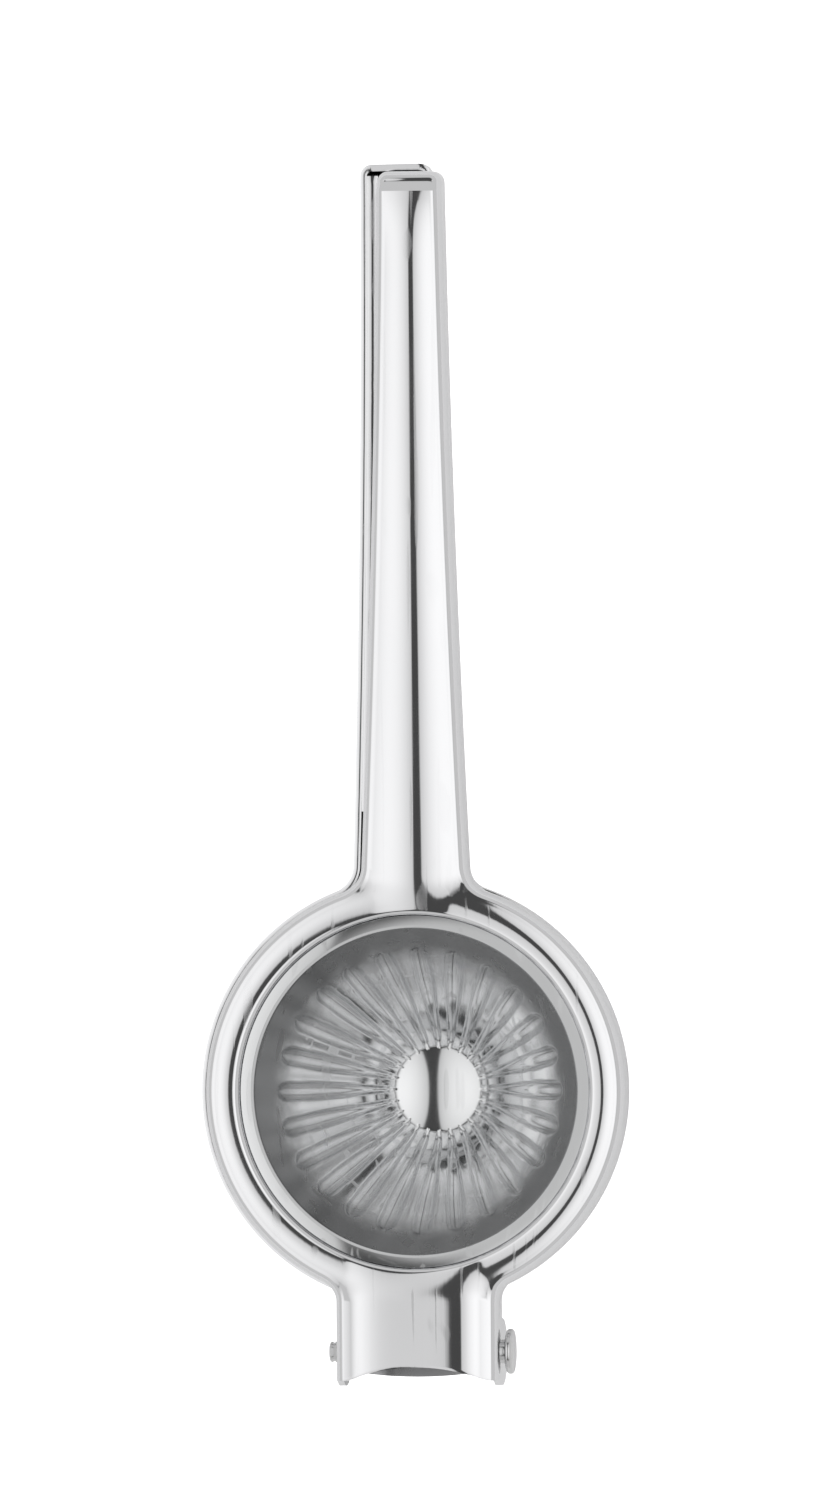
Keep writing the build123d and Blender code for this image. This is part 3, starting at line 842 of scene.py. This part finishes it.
cap_level = (cup_lo.z / MM) + CAP_R + CUP_WALL
mouth_rise = cup_hi.z / MM - cap_level
wall_angle = atan2(mouth_rise, MOUTH_R) + asin(CAP_R / hypot(MOUTH_R, mouth_rise))


def cup_profile(cap_r, top_level, cap_steps, wall_steps):
    """(radius, level, normal angle) from the bottom's middle to the mouth of a wall of that cap radius."""
    turns = [wall_angle * step / cap_steps for step in range(cap_steps + 1)]
    made = [(cap_r * sin(turn), cap_level - cap_r * cos(turn), turn) for turn in turns]
    top_r = (cap_r + (top_level - cap_level) * cos(wall_angle)) / sin(wall_angle)
    start_r, start_level, _ = made[-1]
    for step in range(1, wall_steps + 1):
        share = step / wall_steps
        made.append((start_r + (top_r - start_r) * share, start_level + (top_level - start_level) * share,
                     wall_angle))
    return made


def rib_dip(radius, angle):
    """Depth of the pressed rib at a radius and at an angle from the rib's middle line."""
    if not RIB_FROM < radius < RIB_TO:
        return 0.0
    widen = min(max((radius - RIB_GROWS[0]) / (RIB_GROWS[1] - RIB_GROWS[0]), 0.0), 1.0)
    half_width = RIB_HALF + RIB_GAINS * widen * widen * (3 - 2 * widen)
    near = min((radius - RIB_FROM) / RIB_ENDS[0], 1.0)
    far = min((RIB_TO - radius) / RIB_ENDS[1], 1.0)
    ends = sqrt(1 - (1 - near) ** 2) * sqrt(1 - (1 - far) ** 2)
    across_rib = abs(radius * sin(angle)) / max(half_width * ends, HAIR)
    return RIB_DEEP * min(ends * RIB_FILLS, 1.0) * max(1 - across_rib**2, 0.0) ** RIB_CRISP


print("cup wall leans", round(degrees(wall_angle), 1), "degrees from flat")

# %% Cup mesh
def cup_mesh():
    """Inside wall, flange and outside wall as one closed skin in plan millimetres."""
    top = cup_hi.z / MM
    under = top - CUP_WALL
    flange_r = (cup_hi.x - cup_lo.x) / 2 / MM
    inside = cup_profile(CAP_R, top - MOUTH_DROP, 34, 66)
    disc_edge = cap_level - sqrt(CAP_R**2 - DISC_R**2) + sqrt(DISC_BEND**2 - DISC_R**2)
    inside = [(radius, disc_edge - sqrt(DISC_BEND**2 - radius**2) if radius < DISC_R else level, lean_angle)
              for radius, level, lean_angle in inside]
    wall_end_r, wall_end_level, _ = inside[-1]
    inside += [(wall_end_r + out, wall_end_level + up, None) for out, up in MOUTH_BEND]
    outside = cup_profile(CAP_R + CUP_WALL, under, 14, 30)
    flange = [(flange_r - FLANGE_EDGE, top, None), (flange_r, top - FLANGE_EDGE, None),
              (flange_r, under + FLANGE_EDGE, None), (flange_r - FLANGE_EDGE, under, None)]
    mesh = bmesh.new()
    rings = []
    for radius, level, lean_angle in inside[1:] + flange + outside[:0:-1]:
        turn = lean_angle or 0.0
        ring = []
        for index in range(AROUND):
            angle = 2 * pi * index / AROUND
            from_rib = (angle + pi / RIBS) % (2 * pi / RIBS) - pi / RIBS
            dip = rib_dip(radius, from_rib) if lean_angle is not None else 0.0
            flat = radius + dip * sin(turn)
            ring.append(mesh.verts.new((flat * cos(angle), flat * sin(angle), level - dip * cos(turn))))
        rings.append(ring)
    for one, two in zip(rings, rings[1:]):
        for i in range(AROUND):
            j = (i + 1) % AROUND
            mesh.faces.new((one[i], one[j], two[j], two[i]))
    for ring, (radius, level, _) in ((rings[0], inside[0]), (rings[-1], outside[0])):
        centre = mesh.verts.new((0, 0, level))
        for i in range(AROUND):
            mesh.faces.new((centre, ring[i], ring[(i + 1) % AROUND]))
    bmesh.ops.recalc_face_normals(mesh, faces=mesh.faces)
    data = bpy.data.meshes.new("ribbed_press_cup")
    mesh.to_mesh(data)
    mesh.free()
    return data


ribbed_cup = finished(cup_mesh(), Matrix.Translation((ring_centre.x, ring_centre.y, 0)) @ Matrix.Scale(MM, 4),
                      (drawn_cup,), sharp=60)
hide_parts("press_cup")
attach(ribbed_cup, "upper")

# %% [markdown]
# ## The hinge pin
#
# The pin is a turned rivet. Its head has a rounded rim and a faint dome, and its tail is cut a little
# askew and crimped so that it can't slide out. A profile is turned about the hinge axis, then the
# tail's rings are squeezed and leaned.

# %% Hinge pin
PIN_R = 2.1
HEAD_R = (pin_hi.z - pin_lo.z) / 2 / MM
HEAD_THICK = 1.25
pin_start, pin_end = pin_lo.x / MM, pin_hi.x / MM
head_start = pin_end - HEAD_THICK
HEAD_RIM = 0.5                 # radius of the head's rounded rim
HEAD_DOME = 0.05               # the head's middle stands this far above its rim
CRIMP_AT, CRIMP_LONG, CRIMP_DEEP = 1.0, 0.6, 0.10    # place, half length and share of the radius
ASKEW, ASKEW_LONG = 0.22, 0.5
TURNED_STEPS = 64
pin_profile = [(pin_start, 0.0), (pin_start, 1.1), (pin_start + 0.12, 1.55), (pin_start + 0.5, 1.9),
               (pin_start + 1.0, 1.78), (pin_start + 1.5, 2.05), (pin_start + 1.9, PIN_R)]
pin_profile += [(head_start, PIN_R), (head_start, HEAD_R - 0.4)]
pin_profile += [(head_start + HEAD_RIM * (1 - cos(radians(a))),
                 HEAD_R - HEAD_RIM + HEAD_RIM * sin(radians(a))) for a in (20, 45, 70, 90)]
pin_profile += [(pin_end - HEAD_RIM + (HEAD_RIM - HEAD_DOME) * sin(radians(a)),
                 HEAD_R - HEAD_RIM + HEAD_RIM * cos(radians(a))) for a in (15, 35, 55, 75, 90)]
pin_profile += [(pin_end - 0.02, 2.4), (pin_end, 1.2), (pin_end, 0.0)]


def pin_mesh():
    """Turns the profile about X, in millimetres from the hinge axis."""
    mesh = bmesh.new()
    rings = []
    for x, radius in pin_profile:
        ring = []
        squeezed = CRIMP_DEEP * max(1 - abs(x - pin_start - CRIMP_AT) / CRIMP_LONG, 0.0)
        leaning = ASKEW * radius / PIN_R * max(1 - (x - pin_start) / ASKEW_LONG, 0.0)
        for index in range(TURNED_STEPS if radius > 0 else 1):
            angle = 2 * pi * index / TURNED_STEPS
            crimp = 1 - squeezed * cos(2 * angle) ** 2
            askew = leaning * (1 + sin(angle)) / 2
            ring.append(mesh.verts.new((x + askew, radius * crimp * cos(angle), radius * crimp * sin(angle))))
        rings.append(ring)
    for one, two in zip(rings, rings[1:]):
        for i in range(TURNED_STEPS):
            j = (i + 1) % TURNED_STEPS
            corners = (one[i % len(one)], one[j % len(one)], two[j % len(two)], two[i % len(two)])
            mesh.faces.new(tuple(dict.fromkeys(corners)))
    bmesh.ops.recalc_face_normals(mesh, faces=mesh.faces)
    data = bpy.data.meshes.new("turned_hinge_pin")
    mesh.to_mesh(data)
    mesh.free()
    return data


turned_pin = finished(pin_mesh(), Matrix.Translation((0, hinge.y, hinge.z)) @ Matrix.Scale(MM, 4),
                      (pin_steel,), sharp=50)
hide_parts("hinge_pin")
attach(turned_pin, "lower")

# %% [markdown]
# ## The strainer bowl
#
# The bowl's ninety drilled holes are already true geometry in the engineering model, and nothing of
# its shape is missing, so the node stays and only takes its own drawn finish.

# %% Strainer bowl
bowl = frame["nodes"]["strainer_bowl"]
for index in range(len(bowl.material_slots)):
    bowl.material_slots[index].link = "OBJECT"
    bowl.material_slots[index].material = drawn_bowl
print("strainer bowl slots", len(bowl.material_slots))
